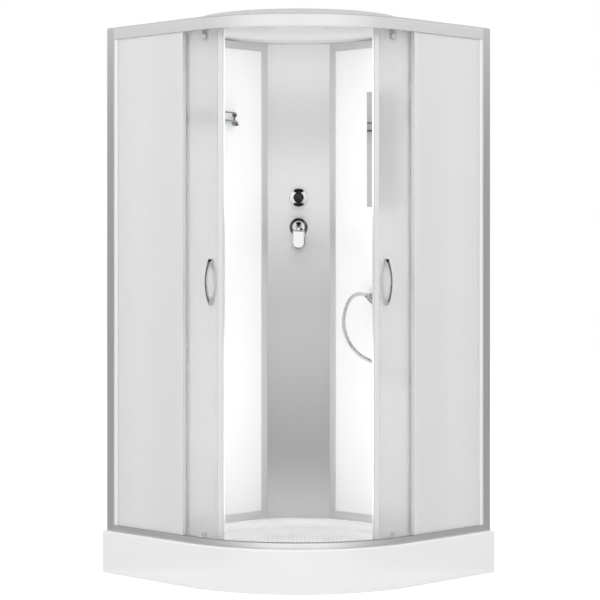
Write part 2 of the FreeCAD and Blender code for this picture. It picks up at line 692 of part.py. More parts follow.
def make_handles():
    """Two bow handles, one each side of the glass, on two studs that pass through it.

    Seen from the side a handle is a bow with long feet, and seen from the front it is drawn in at the grip.
    """
    toe = (s.handle_span + s.handle_foot) / 2
    heel = (s.handle_span - s.handle_foot) / 2
    hollow = s.handle_reach - s.handle_grip
    crest = (toe * toe + s.handle_reach * s.handle_reach) / (2 * s.handle_reach)
    under = (heel * heel + hollow * hollow) / (2 * hollow)
    dip = s.handle_foot_half - s.handle_grip_half
    waist = (toe * toe + dip * dip) / (2 * dip)
    broad = s.handle_foot_half
    low = s.handle_height - s.handle_span / 2

    def bow(face, way):
        seat = Vector(value(face), 0, s.handle_height.value)
        side = plate([(0, -toe, crest), (0, toe), (0, heel, -under), (0, -heel)], -broad, broad)
        side.Placement = Placement(seat, way.multiply(Rotation(X_AXIS, QUARTER)))
        front = plate([(-broad, -toe), (broad, -toe, -waist), (broad, toe), (-broad, toe, -waist)],
                      ZERO, s.handle_reach)
        front.Placement = Placement(seat, way.multiply(FRONT_ON))
        return common(side, front)

    stud_start = door_inner - s.seat_gap - s.stud_sink
    stud_length = s.glass + (s.seat_gap + s.stud_sink) * 2
    return fuse(
        bow(door_outer + s.seat_gap, Rotation()),
        bow(door_inner - s.seat_gap, Rotation(Z_AXIS, HALF_TURN)),
        rod(s.handle_stud, "x", stud_start, ZERO, low, stud_length),
        rod(s.handle_stud, "x", stud_start, ZERO, low + s.handle_span, stud_length))


def wheel(radius, bore):
    """A wheel on its side, with eased rims."""
    half = s.wheel_width / 2
    ease = s.wheel_ease
    return turned([
        (bore, -half), (radius - ease, -half), (radius, ease - half), (radius, half - ease),
        (radius - ease, half), (bore, half)])


def make_running_gear():
    half = s.wheel_width / 2
    axle_level = top_lip_top + s.wheel_radius + s.wheel_gap
    guide_level = bottom_lip_top + s.guide_wheel + s.wheel_gap
    back = door_inner - s.seat_gap
    front = door_outer + s.seat_gap
    hangers = []
    guides = []
    rollers = ((lead_angle, s.lead_wheel_set, "lead"), (trail_angle, s.trail_wheel_set, "trail"))
    for angle, depth, name in rollers:
        middle_x = rail_radius - depth
        tip = middle_x + half + s.wheel_gap
        bolt_level = door_high - s.bolt_drop
        start = back - s.hanger_thick
        hanger = fuse(
            box(start, back, -(s.hanger_width / 2), s.hanger_width / 2, door_high - s.hanger_drop,
                axle_level + s.hanger_rise),
            rod(s.axle_radius, "x", start, ZERO, axle_level, tip - start),
            rod(s.axle_radius + s.axle_cap, "x", tip, ZERO, axle_level, s.axle_cap),
            rod(s.axle_radius, "x", start, ZERO, bolt_level, front - start),
            rod(s.bolt_cap, "x", front, ZERO, bolt_level, s.bolt_cap_thick))
        hanger.Placement = on_door(angle)
        hangers.append(hanger)
        guide = fuse(
            box(front, front + s.guide_thick, -(s.guide_width / 2), s.guide_width / 2,
                guide_level - s.guide_axle - s.guide_thick / 2, s.guide_top),
            rod(s.guide_axle, "x", front, ZERO, guide_level, tip - front),
            rod(s.guide_axle + s.axle_cap, "x", tip, ZERO, guide_level, s.axle_cap),
            rod(s.handle_stud, "x", back, ZERO, s.guide_bolt, front - back),
            rod(s.guide_cap, "-x", back, ZERO, s.guide_bolt, s.bolt_cap_thick))
        guide.Placement = on_door(angle)
        guides.append(guide)
        upper = Placement(Vector(middle_x.value, 0, axle_level.value), TURNS["x"])
        lower = Placement(Vector(middle_x.value, 0, guide_level.value), TURNS["x"])
        runner = wheel(s.wheel_radius, s.axle_radius + s.axle_fit)
        pair(runner, f"upper_{name}_wheel", on_door(angle).multiply(upper))
        follower = wheel(s.guide_wheel, s.guide_axle + s.axle_fit)
        pair(follower, f"lower_{name}_wheel", on_door(angle).multiply(lower))
    pair(group(*hangers), "upper_hangers")
    pair(group(*guides), "lower_guides")
    stop_end = trail_open.x - s.wheel_radius - s.stop_gap
    stop = group(box(stop_end - s.stop_length, stop_end, rail_face - lip_end, rail_face - s.rail_box,
                     top_lip_top, top_lip_top + s.stop_height))
    stop.Placement = ROOM
    twin = doc.addObject("Part::Mirroring", "Twin")
    twin.Source = stop
    twin.Normal = X_AXIS
    finish(group(stop, twin), "rail_stops")


# Back panels and centre column

def make_back_wall():
    frame_top = s.rail_top
    inner_low = s.ledge_height + s.frame_bar
    inner_high = frame_top - s.frame_bar
    inner_start = s.frame_start + s.frame_post
    inner_end = frame_end - s.frame_bar
    frame = cut(
        box(s.frame_back, s.frame_face, s.frame_start, frame_end, s.ledge_height, frame_top),
        box(s.frame_back - OVER, s.frame_face + OVER, inner_start, inner_end, inner_low, inner_high),
        box(s.panel_back - s.groove_gap, panel_face + s.groove_gap, inner_start - s.panel_tuck - s.groove_gap,
            inner_end + s.panel_tuck + s.groove_gap, inner_low - s.panel_tuck, inner_high + s.panel_tuck))
    pair(frame, "panel_frame", ROOM)
    sides = (inner_start - s.panel_tuck, inner_end + s.panel_tuck, inner_low - s.panel_tuck,
             inner_high + s.panel_tuck)
    plain = group(box(s.panel_back, panel_face, *sides))
    plain.Placement = ROOM
    mirrored(plain, "left_back_panel")
    hole = rod(s.outlet_stub + s.bolt_fit, "x", s.panel_back - OVER, s.outlet_place, s.outlet_level,
               s.panel_thick + OVER * 2)
    finish(cut(box(s.panel_back, panel_face, *sides), hole), "right_back_panel", ROOM)


def make_column():
    half = s.column_face - ROOT2 * (s.frame_face + s.column_gap)
    rear = half - s.column_thick
    panel = plate([(-half, 0), (half, 0), (rear, s.column_thick), (-rear, s.column_thick)],
                  s.ledge_height, s.rail_top)
    holes = [rod(s.neck_hole, "y", ZERO, ZERO - OVER, level, s.column_thick + OVER * 2)
             for level in (s.mixer_height, diverter_height)]
    finish(cut(panel, *holes), "centre_column", COLUMN)


# Mixer and diverter

def make_fittings():
    necks = []
    for level, label in ((s.mixer_height, "mixer_escutcheon"), (diverter_height, "diverter_escutcheon")):
        necks.append(rod(s.neck_radius, "-y", ZERO, s.valve_front, level, s.valve_front + s.plate_thick))
        bore = s.neck_radius + s.neck_fit
        finish(turned([
            (bore, 0), (s.plate_radius, 0), (s.plate_radius, s.plate_edge),
            (s.plate_radius - s.plate_edge, s.plate_thick), (bore, s.plate_thick)]), label, at_column(level))
    low = s.mixer_height - s.valve_below
    inlets = [rod(s.inlet_radius, "-z", side, (s.valve_back + s.valve_front) / 2, low, s.inlet_length)
              for side in (s.inlet_place, -s.inlet_place)]
    high = diverter_height + s.valve_above
    casting = box(-s.valve_half, s.valve_half, s.valve_front, s.valve_back, low, high)
    finish(fuse(casting, *necks, *inlets), "valve_body", COLUMN)
    seat = s.plate_thick + s.neck_fit
    collar_top = seat + s.cap_collar
    centre = seat + s.ball_lift
    lift = collar_top - centre
    foot = Size(math.sqrt(s.ball_radius.value ** 2 - lift.value ** 2),
                f"sqrt({s.ball_radius.formula}^2 - {lift.formula}^2)")
    finish(turned([
        (0, seat), (s.cap_radius, seat), (s.cap_radius, collar_top), (foot, collar_top, s.ball_radius),
        (s.ball_radius, centre, s.ball_radius), (0, centre + s.ball_radius)]), "mixer_cap",
        at_column(s.mixer_height))
    make_lever(centre)
    knob_end = seat + s.knob_length
    crown = knob_end + s.knob_crown
    dome = (s.knob_waist * s.knob_waist + s.knob_crown * s.knob_crown) / (2 * s.knob_crown)
    finish(turned([
        (0, seat), (s.knob_radius, seat), (s.knob_radius, seat + s.knob_band), (s.knob_waist, knob_end, dome),
        (0, crown)]), "diverter_knob", at_column(diverter_height))


def make_lever(centre):
    """A cap that slides over the ball, with a paddle that hangs from it."""
    inner = s.ball_radius + s.shell_gap
    outer = inner + s.shell_thick
    lean = math.radians(s.shell_angle.value)

    def on_shell(radius):
        reach = Size(radius.value * math.sin(lean), f"({radius.formula} * sin({s.shell_angle.formula}))")
        rise = Size(radius.value * math.cos(lean), f"({radius.formula} * cos({s.shell_angle.formula}))")
        return reach, centre + rise

    shell = turned([
        (*on_shell(inner), inner), (0, centre + inner), (0, centre + outer, -outer), on_shell(outer)])
    root = -s.lever_root
    tip = -s.lever_drop
    end = s.lever_half_end
    corner = tip + s.lever_round
    inside = end - s.lever_round
    paddle = plate([
        (-s.lever_half_root, root), (-end, corner, s.lever_round), (-inside, tip), (inside, tip, s.lever_round),
        (end, corner), (s.lever_half_root, root)],
        centre + s.lever_set, centre + s.lever_set + s.lever_thick)
    hinge_line = Vector(0, root.value, (centre + s.lever_set).value)
    paddle.Placement = Placement(Vector(), Rotation(X_AXIS, -s.lever_tilt.value), hinge_line)
    finish(fuse(shell, paddle), "mixer_lever", at_column(s.mixer_height))


# Outlet, hose and hand shower on the right wall. Points are depth from the wall, distance from the corner
# and height.

HOSE_POINTS = (
    (203, 456, 986), (238, 469, 928), (243, 492, 852), (214, 521, 783), (172, 558, 730), (134, 604, 694),
    (108, 656, 680), (97, 706, 702), (93, 739, 756), (92, 753, 838), (94, 759, 948), (93, 757, 1082),
    (91, 759, 1216), (92, 758, 1318),
)


def make_outlet():
    base = Vector(panel_face.value, s.outlet_place.value, s.outlet_level.value)
    aim = Rotation(Y_AXIS, QUARTER - s.outlet_tilt.value)
    along = aim.multVec(Z_AXIS)
    back = -s.outlet_base
    nozzle = turned([(0, back), (s.outlet_base, back), (s.outlet_base, 0, s.outlet_swell),
                     (s.outlet_tip, s.outlet_reach), (0, s.outlet_reach)])
    nozzle.Placement = Placement(base, aim)
    front = box(panel_face, panel_face + s.outlet_reach * 2, s.outlet_place - s.outlet_base * 2,
                s.outlet_place + s.outlet_base * 2, s.outlet_level - s.outlet_base * 2,
                s.outlet_level + s.outlet_base * 2)
    stub = rod(s.outlet_stub, "x", panel_face - s.outlet_stub_back, s.outlet_place, s.outlet_level,
               s.outlet_stub_back + s.outlet_stub)
    finish(fuse(common(nozzle, front), stub), "hose_outlet", ROOM)
    nut = turned([(0, 0), (s.nut_bore, 0), (s.nut_bore, s.nut_length / 2), (s.hose_radius + OVER, s.nut_length),
                  (0, s.nut_length)])
    nut.Placement = Placement(base + along * s.outlet_reach.value, aim)
    finish(nut, "hose_nut", ROOM)
    hose_start = base + along * (s.outlet_reach.value + s.nut_length.value)
    hose_end = Vector(s.shower_out.value, shower_place.value, s.cone_bottom.value)
    hose_lead = hose_start + along * s.hose_lead.value
    points = [hose_start, hose_lead] + [Vector(*point) for point in HOSE_POINTS] + [hose_end]
    hose, length, radii = tube(points, s.hose_radius.value)
    section = math.pi * s.hose_radius.value ** 2
    print("hose length", round(length, 1), "volume over section times length",
          round(hose.Shape.Volume / (section * length), 4))
    print("hose bend radii", [round(radius) for radius in radii])
    finish(hose, "shower_hose", ROOM)
    valve_side = COLUMN.multVec(Vector(s.valve_half.value, (s.valve_back + s.valve_front).value / 2, 0))
    start = ROOM.inverse().multVec(valve_side)
    depth = s.pipe_depth.value
    level = s.pipe_level.value
    inlet = panel_face.value - s.outlet_stub_back.value
    pipe, _, _ = tube([
        Vector(start.x, start.y, level), Vector(depth, start.y + start.x - depth, level),
        Vector(depth, s.outlet_place.value, level), Vector(depth, s.outlet_place.value, s.outlet_level.value),
        Vector(inlet, s.outlet_place.value, s.outlet_level.value)],
        s.pipe_radius.value, min(s.pipe_bend.value, inlet - depth - OVER))
    finish(pipe, "outlet_pipe", ROOM)


def make_hand_shower():
    stand = ROOM.multiply(Placement(Vector(s.shower_out.value, shower_place.value, 0), Rotation()))
    cone_top = s.cone_bottom + s.cone_length
    finish(turned([(0, s.cone_bottom), (s.cone_low, s.cone_bottom), (s.cone_high, cone_top), (0, cone_top)]),
           "hose_cone", stand)
    neck = cone_top + s.grip_length
    grip = turned([
        (0, cone_top), (s.handle_low, cone_top), (s.handle_mid, cone_top + s.grip_length / 2),
        (s.handle_neck, neck), (0, neck)])
    head_centre = Vector(s.head_out.value, 0, (neck + s.head_rise).value)
    aim = Rotation(Y_AXIS, s.head_tilt.value)
    facing = aim.multVec(Z_AXIS)
    rear = head_centre - facing * (s.head_thick.value / 2)
    bend, _, _ = tube([Vector(0, 0, (neck - s.handle_neck).value), Vector(0, 0, (neck + s.head_rise / 2).value),
                       rear + facing * (s.head_thick.value / 4)], s.handle_neck.value)
    half = s.head_thick / 2
    head = turned([(0, -half), (s.head_back, -half), (s.head_radius, 0), (s.head_radius, half), (0, half)])
    head.Placement = Placement(head_centre, aim)
    finish(fuse(grip, bend, head), "hand_shower", stand)
    spray = turned([(0, half), (s.face_radius, half), (s.face_radius - s.face_thick / 2, half + s.face_thick),
                    (0, half + s.face_thick)])
    spray.Placement = Placement(head_centre, aim)
    finish(spray, "spray_face", stand)
    make_bracket()


def make_bracket():
    """A wall plate with an arm and an open ring that the hose cone drops into."""
    low = s.cone_bottom + s.socket_low
    high = low + s.socket_length
    slope = (s.cone_high - s.cone_low) / s.cone_length
    bore_low = s.cone_low + slope * s.socket_low + s.socket_gap
    bore_high = bore_low + slope * s.socket_length
    outer = bore_high + s.socket_wall
    wall = panel_face - s.shower_out
    base = box(wall, wall + s.bracket_plate, -s.bracket_half, s.bracket_half, low - s.bracket_drop,
               low + s.bracket_rise)
    arm = box(wall, ZERO, -s.bracket_arm, s.bracket_arm, low, high)
    bore = turned([(0, low - OVER), (bore_low - slope * OVER, low - OVER),
                   (bore_high + slope * OVER, high + OVER), (0, high + OVER)])
    mouth = s.hose_radius + OVER
    gap = box(ZERO, outer * 2, -mouth, mouth, low - OVER, high + OVER)
    stand = ROOM.multiply(Placement(Vector(s.shower_out.value, shower_place.value, 0), Rotation()))
    ring_body = column(outer, ZERO, ZERO, low, high)
    finish(cut(fuse(base, arm, ring_body), bore, gap), "shower_bracket", stand)


# Shelf and mirror

def make_shelf_and_mirror():
    start = s.shelf_place
    end = start + s.shelf_length
    wall = panel_face + s.slot_gap
    half = s.shelf_length / 2
    bow = (half * half + s.shelf_bulge * s.shelf_bulge) / (2 * s.shelf_bulge)
    glass = plate([(end, wall, bow), (start, wall)], s.shelf_level, s.shelf_level + s.shelf_thick)
    finish(glass, "shelf_glass", ROOM)
    level = s.shelf_level + s.shelf_thick + s.gallery_rise
    wire_radius = bow - s.gallery_inset
    centre = Vector((start + half).value, (wall + s.shelf_bulge - bow).value, level.value)
    wire_end = value(panel_face + s.gallery_knob_depth / 2)
    reach = math.sqrt(wire_radius.value ** 2 - (wire_end - centre.y) ** 2)
    left_end = Vector(centre.x - reach, wire_end, level.value)
    right_end = Vector(centre.x + reach, left_end.y, level.value)
    crest = centre + Y_AXIS * wire_radius.value
    path = Part.Wire(Part.Arc(left_end, crest, right_end).toShape())
    along = path.Edges[0].tangentAt(path.Edges[0].FirstParameter)
    section = Part.Wire(Part.Circle(left_end, along, s.gallery_wire.value).toShape())
    wire = doc.addObject("Part::Feature", "Wire")
    wire.Shape = path.makePipeShell([section], True, False)
    pieces = [wire]
    for spot in (left_end, right_end):
        across = Size(spot.x, repr(spot.x))
        knob = rod(s.gallery_knob, "y", across, panel_face, level, s.gallery_knob_depth)
        holder = rod(s.gallery_knob, "y", across, panel_face, s.shelf_level, s.gallery_knob_depth * 2)
        post = column(s.gallery_wire, across, panel_face + s.gallery_knob_depth / 2, s.shelf_level, level)
        slot = box(start - OVER, end + OVER, wall, wall + s.shelf_bulge, s.shelf_level,
                   s.shelf_level + s.shelf_thick)
        pieces.append(cut(fuse(knob, holder, post), slot))
    finish(fuse(*pieces), "shelf_rail", ROOM)
    middle_place = (s.frame_start + s.frame_post + shower_place - s.bracket_half) / 2
    finish(box(panel_face, panel_face + s.mirror_thick, middle_place - s.mirror_width / 2,
               middle_place + s.mirror_width / 2, s.mirror_low, s.mirror_low + s.mirror_height),
           "mirror", ROOM)


# Roof

def make_roof():
    low = s.rail_top
    high = low + s.roof_sheet
    wall = s.roof_sheet
    flange = cut(
        quadrant(s.roof_inset, ZERO, low, high),
        column(s.dome_base - wall / 2, arc_centre, arc_centre, low - OVER, high + OVER))
    shoulder = low + s.dome_rise
    crown = shoulder + s.dome_crown
    cap = (s.dome_top * s.dome_top + s.dome_crown * s.dome_crown) / (2 * s.dome_crown)
    inner_top = s.dome_top - wall / 2
    inner_cap = (inner_top * inner_top + s.dome_crown * s.dome_crown) / (2 * s.dome_crown)
    dome = turned([
        (s.dome_base - wall, low), (s.dome_base, low), (s.dome_base, high), (s.dome_top, shoulder, cap),
        (0, crown), (0, crown - wall, -inner_cap), (inner_top, shoulder - wall)])
    dome.Placement = Placement(Vector(arc_centre.value, arc_centre.value, 0), Rotation())
    finish(fuse(flange, dome), "roof", ROOM)


make_tray()
make_frame_and_feet()
make_drain()
make_rails()
make_fixed_side()
make_door()
make_running_gear()
make_back_wall()
make_column()
make_fittings()
make_outlet()
make_hand_shower()
make_shelf_and_mirror()
make_roof()
doc.recompute()
print("door axis", [round(number, 2) for number in door_pole], "turn", round(door_turn, 3))

faults = [thing.Name for thing in doc.Objects if {"Invalid", "Error"} & set(thing.State)]
for thing in parts:
    if thing.Shape.isNull() or not thing.Shape.isValid() or not thing.Shape.Solids:
        faults.append(thing.Label)
if faults:
    raise RuntimeError(f"not built: {faults}")

os.makedirs("parts", exist_ok=True)
for thing in parts:
    thing.Shape.exportStep(f"parts/{thing.Label}.step")
print(len(parts), "sub-parts written")
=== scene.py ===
import json
import math

import bmesh
import bpy
from mathutils import Matrix, Vector
from mathutils.bvhtree import BVHTree

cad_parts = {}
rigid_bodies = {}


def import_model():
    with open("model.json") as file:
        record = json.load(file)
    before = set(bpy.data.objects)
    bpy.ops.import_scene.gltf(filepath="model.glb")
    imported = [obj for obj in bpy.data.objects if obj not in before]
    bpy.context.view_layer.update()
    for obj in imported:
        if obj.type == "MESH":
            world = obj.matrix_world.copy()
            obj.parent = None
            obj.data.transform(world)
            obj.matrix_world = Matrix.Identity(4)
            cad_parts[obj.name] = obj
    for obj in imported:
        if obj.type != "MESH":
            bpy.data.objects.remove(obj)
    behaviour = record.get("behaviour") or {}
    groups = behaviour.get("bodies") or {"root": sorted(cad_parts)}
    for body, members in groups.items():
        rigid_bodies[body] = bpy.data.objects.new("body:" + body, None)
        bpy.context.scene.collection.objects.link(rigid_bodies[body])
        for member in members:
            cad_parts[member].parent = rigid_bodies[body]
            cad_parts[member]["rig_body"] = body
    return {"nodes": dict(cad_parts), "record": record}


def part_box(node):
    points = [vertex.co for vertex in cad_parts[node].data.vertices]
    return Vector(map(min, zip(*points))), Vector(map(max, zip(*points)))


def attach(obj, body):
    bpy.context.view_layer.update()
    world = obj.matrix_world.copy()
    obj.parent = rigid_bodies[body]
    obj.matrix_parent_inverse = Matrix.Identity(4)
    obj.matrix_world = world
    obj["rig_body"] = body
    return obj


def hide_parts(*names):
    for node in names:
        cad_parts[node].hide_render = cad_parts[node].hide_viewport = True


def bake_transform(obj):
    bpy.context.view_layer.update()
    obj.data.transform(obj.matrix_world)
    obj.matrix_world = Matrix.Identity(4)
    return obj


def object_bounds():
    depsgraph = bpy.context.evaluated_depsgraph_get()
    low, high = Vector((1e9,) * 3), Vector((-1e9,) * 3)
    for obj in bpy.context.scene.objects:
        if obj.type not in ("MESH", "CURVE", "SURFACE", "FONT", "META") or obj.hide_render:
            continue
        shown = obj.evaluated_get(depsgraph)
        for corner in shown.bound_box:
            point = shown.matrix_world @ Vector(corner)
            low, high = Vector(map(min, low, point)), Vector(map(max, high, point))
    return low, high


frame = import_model()
cad_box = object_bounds()
nodes = frame["nodes"]

# Frame and feet. Square steel tubes, zinc plated and welded flush, carry the tray on five
# threaded studs. Each stud has a nut under the tube and stands in a rubber pad.
THREAD_PITCH = 0.00175
WAVE_RADIANS = 20
GRAIN_LOW = 0.3
GRAIN_HIGH = 0.7


def grey(shade):
    return (shade, shade, shade)


def shader_of(name, colour, roughness, metallic=0.0):
    """A new material with its even values on the shader's own sockets."""
    material = bpy.data.materials.new(name)
    material.use_nodes = True
    shader = material.node_tree.nodes["Principled BSDF"]
    shader.inputs["Base Color"].default_value = (*colour, 1)
    shader.inputs["Roughness"].default_value = roughness
    shader.inputs["Metallic"].default_value = metallic
    return material, shader


def grain_of(shader, stretch, detail=4.0):
    """Noise in the piece's own coordinates, with its cycles per metre along x, y and z."""
    tree = shader.id_data
    place = tree.nodes.new("ShaderNodeTexCoord")
    scale = tree.nodes.new("ShaderNodeMapping")
    scale.inputs["Scale"].default_value = stretch
    noise = tree.nodes.new("ShaderNodeTexNoise")
    noise.inputs["Scale"].default_value = 1.0
    noise.inputs["Detail"].default_value = detail
    tree.links.new(place.outputs["Object"], scale.inputs["Vector"])
    tree.links.new(scale.outputs["Vector"], noise.inputs["Vector"])
    return noise


def tint(shader, grain, dark, light, socket=None):
    """Spreads a grain's middle values over two colours."""
    tree = shader.id_data
    ramp = tree.nodes.new("ShaderNodeValToRGB")
    for stop, mark, colour in zip(ramp.color_ramp.elements, (GRAIN_LOW, GRAIN_HIGH), (dark, light)):
        stop.position = mark
        stop.color = (*colour, 1)
    tree.links.new(grain.outputs["Fac"], ramp.inputs["Fac"])
    tree.links.new(ramp.outputs["Color"], socket or shader.inputs["Base Color"])


def roughen(shader, grain, low, high):
    """Spreads a grain's middle values over a range of roughness."""
    tree = shader.id_data
    spread = tree.nodes.new("ShaderNodeMapRange")
    spread.inputs["From Min"].default_value = GRAIN_LOW
    spread.inputs["From Max"].default_value = GRAIN_HIGH
    spread.inputs["To Min"].default_value = low
    spread.inputs["To Max"].default_value = high
    tree.links.new(grain.outputs["Fac"], spread.inputs["Value"])
    tree.links.new(spread.outputs["Result"], shader.inputs["Roughness"])


def emboss(shader, grain, strength, depth):
    """Raises a grain by a depth in metres."""
    tree = shader.id_data
    bump = tree.nodes.new("ShaderNodeBump")
    bump.inputs["Strength"].default_value = strength
    bump.inputs["Distance"].default_value = depth
    tree.links.new(grain.outputs["Fac"], bump.inputs["Height"])
    tree.links.new(bump.outputs["Normal"], shader.inputs["Normal"])


def zinc_plate():
    material, shader = shader_of("zinc_plate", (0.55, 0.56, 0.57), 0.42, 1.0)
    spangle = grain_of(shader, (55, 55, 55), 2.0)
    tint(shader, spangle, (0.47, 0.48, 0.5), (0.63, 0.64, 0.65))
    roughen(shader, spangle, 0.34, 0.52)
    emboss(shader, spangle, 0.15, 0.0003)
    return material


def threaded_zinc():
    """Zinc with a screw thread's ridges round it, a pitch apart.

    A wave texture at scale 1 runs through 20 radians in a metre.
    """
    material, shader = shader_of("threaded_zinc", (0.5, 0.51, 0.52), 0.4, 1.0)
    tree = material.node_tree
    place = tree.nodes.new("ShaderNodeTexCoord")
    ridges = tree.nodes.new("ShaderNodeTexWave")
    ridges.bands_direction = "Z"
    ridges.inputs["Scale"].default_value = math.tau / (WAVE_RADIANS * THREAD_PITCH)
    tree.links.new(place.outputs["Object"], ridges.inputs["Vector"])
    tint(shader, ridges, (0.4, 0.41, 0.42), (0.6, 0.61, 0.62))
    emboss(shader, ridges, 0.8, 0.0008)
    return material


def moulded_rubber(name, dark, light):
    material, shader = shader_of(name, grey(light), 0.62)
    pores = grain_of(shader, (900, 900, 900))
    tint(shader, pores, grey(dark), grey(light))
    roughen(shader, pores, 0.55, 0.72)
    emboss(shader, pores, 0.2, 0.0002)
    return material


def dress(material, *names):
    """Gives nodes one finish."""
    for name in names:
        nodes[name].data.materials.clear()
        nodes[name].data.materials.append(material)


dress(zinc_plate(), "tray_frame")
dress(threaded_zinc(), "foot_studs")
black_rubber = moulded_rubber("black_rubber", 0.02, 0.05)
dress(black_rubber, "foot_pads")

# Tray. One shell of cast acrylic with a skirt to the floor, vacuum formed and backed with
# resin. Its rim carries the rails, and a lower ledge along the walls carries the back panels.
# Low dots on the floor give a foothold.
TREAD_REACH = 0.2
TREAD_STEP = 0.03
TREAD_RADIUS = 0.006
TREAD_HEIGHT = 0.0009


def cast_acrylic(name, shade):
    material, shader = shader_of(name, grey(shade), 0.2)
    shader.inputs["Coat Weight"].default_value = 0.4
    shader.inputs["Coat Roughness"].default_value = 0.06
    waves = grain_of(shader, (9, 9, 9), 1.0)
    roughen(shader, waves, 0.17, 0.25)
    emboss(shader, waves, 0.05, 0.002)
    return material


def piece_of(name, shape, material):
    """A new piece from a finished bmesh, in one finish."""
    mesh = bpy.data.meshes.new(name)
    shape.to_mesh(mesh)
    shape.free()
    mesh.materials.append(material)
    piece = bpy.data.objects.new(name, mesh)
    bpy.context.scene.collection.objects.link(piece)
    return piece


white_acrylic = cast_acrylic("white_acrylic", 0.9)
dress(white_acrylic, "tray")
tray_mesh = nodes["tray"].data
tray_shape = BVHTree.FromPolygons([vertex.co for vertex in tray_mesh.vertices],
                                  [face.vertices for face in tray_mesh.polygons])
rim_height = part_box("tray")[1].z
tread_row = TREAD_STEP * math.sqrt(3) / 2
tread_count = int(TREAD_REACH / tread_row)
flatten = Matrix.Diagonal((1, 1, TREAD_HEIGHT / TREAD_RADIUS, 1))
tread = bmesh.new()
for row in range(-tread_count, tread_count + 1):
    for column in range(-tread_count, tread_count + 1):
        foothold = Vector(((column + row % 2 / 2) * TREAD_STEP, row * tread_row, 0))
        if foothold.length < TREAD_REACH:
            floor_place = tray_shape.ray_cast(foothold + Vector((0, 0, rim_height)), (0, 0, -1))[0]
            bmesh.ops.create_uvsphere(tread, u_segments=10, v_segments=6, radius=TREAD_RADIUS,
                                      matrix=Matrix.Translation(floor_place) @ flatten)
floor_tread = piece_of("floor_tread", tread, white_acrylic)
floor_tread.data.shade_smooth()
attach(floor_tread, "cabin")

# Drain. A chromed flange is clamped to the trap through the tray's floor with a rubber
# ring between, and a domed cover drops into it. The trap is moulded plastic.


def chrome_plate(name, shine):
    material, shader = shader_of(name, grey(shine), 0.05, 1.0)
    haze = grain_of(shader, (40, 40, 40), 3.0)
    roughen(shader, haze, 0.03, 0.09)
    return material


def moulded_plastic(name, dark, light, roughness=0.4):
    material, shader = shader_of(name, light, roughness)
    mottle = grain_of(shader, (320, 320, 320), 3.0)
    tint(shader, mottle, dark, light)
    emboss(shader, mottle, 0.12, 0.0002)
    return material


chrome = chrome_plate("chrome_plate", 0.89)
white_elastomer = moulded_rubber("white_elastomer", 0.82, 0.9)
white_plastic = moulded_plastic("white_plastic", (0.8, 0.8, 0.79), (0.86, 0.86, 0.85))
dress(chrome, "drain_flange", "drain_cover")
dress(white_elastomer, "drain_gasket")
dress(white_plastic, "drain_trap")

# Rails and wall profiles. Extruded aluminium, satin anodised, with the die's fine lines
# along each length. The two rails are rolled to the front's curve and screwed to the profiles.
# The lower rail's top edge takes a grey, a painted shadow in its slot.
LEVEL_LINES = (4, 4, 1400)
UPRIGHT_LINES = (1400, 1400, 4)
EXTRUSION_EDGE = 0.0006
SLOT_SHADOW_HEIGHT = 0.0015
WELD_REACH = 1e-6
FLAT_ANGLE = math.radians(0.2)
EASE_ANGLE = math.radians(35)


def anodised(name, lines, dark, light):
    """Aluminium with the die's lines, given in cycles per metre along x, y and z."""
    material, shader = shader_of(name, grey(light), 0.34, 1.0)
    drawn = grain_of(shader, lines, 3.0)
    tint(shader, drawn, grey(dark), grey(light))
    roughen(shader, drawn, 0.28, 0.42)
    emboss(shader, drawn, 0.08, 0.0002)
    return material


def softened(node, edge, finishes, segments=2, cut=None):
    """A copy of a node with eased edges, which stands for it. Past a cut it takes the second finish."""
    mesh = nodes[node].data.copy()
    mesh.materials.clear()
    shape = bmesh.new()
    shape.from_mesh(mesh)
    bmesh.ops.remove_doubles(shape, verts=shape.verts, dist=WELD_REACH)
    if cut:
        place, way = cut
        whole = shape.verts[:] + shape.edges[:] + shape.faces[:]
        bmesh.ops.bisect_plane(shape, geom=whole, plane_co=place, plane_no=way)
        for face in shape.faces:
            face.material_index = int((face.calc_center_median() - place).dot(way) > 0)
    bmesh.ops.dissolve_limit(shape, angle_limit=FLAT_ANGLE, verts=shape.verts, edges=shape.edges,
                             delimit={"MATERIAL"})
    shape.to_mesh(mesh)
    shape.free()
    for finish in finishes:
        mesh.materials.append(finish)
    mesh.shade_smooth()
    mesh.set_sharp_from_angle(angle=EASE_ANGLE)
    piece = bpy.data.objects.new(node + "_eased", mesh)
    bpy.context.scene.collection.objects.link(piece)
    ease = piece.modifiers.new("ease", "BEVEL")
    ease.width = edge
    ease.segments = segments
    ease.limit_method = "ANGLE"
    ease.angle_limit = EASE_ANGLE
    even = piece.modifiers.new("even", "WEIGHTED_NORMAL")
    even.keep_sharp = True
    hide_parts(node)
    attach(piece, nodes[node]["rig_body"])
    return piece


# One anodised aluminium in three greys: lighter on the top rail as painted light, darker on the lower rail
# and the wall profiles as painted shade.
top_rail_aluminium_painted_light = anodised("top_rail_aluminium_painted_light", LEVEL_LINES, 0.87, 0.95)
sill_aluminium_painted_shade = anodised("sill_aluminium_painted_shade", LEVEL_LINES, 0.72, 0.82)
upright_aluminium_painted_shade = anodised("upright_aluminium_painted_shade", UPRIGHT_LINES, 0.68, 0.8)
softened("top_rail", EXTRUSION_EDGE, [top_rail_aluminium_painted_light])
# The lower rail's top 1.5 mm is grey, a painted shadow in the rail's slot.
slot_painted_shadow = moulded_rubber("slot_painted_shadow", 0.26, 0.34)
slot_shadow_foot = Vector((0, 0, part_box("bottom_rail")[1].z - SLOT_SHADOW_HEIGHT))
softened("bottom_rail", EXTRUSION_EDGE, [sill_aluminium_painted_shade, slot_painted_shadow], cut=(slot_shadow_foot, Vector((0, 0, 1))))
for side in ("left", "right"):
    softened(side + "_wall_profile", EXTRUSION_EDGE, [upright_aluminium_painted_shade])

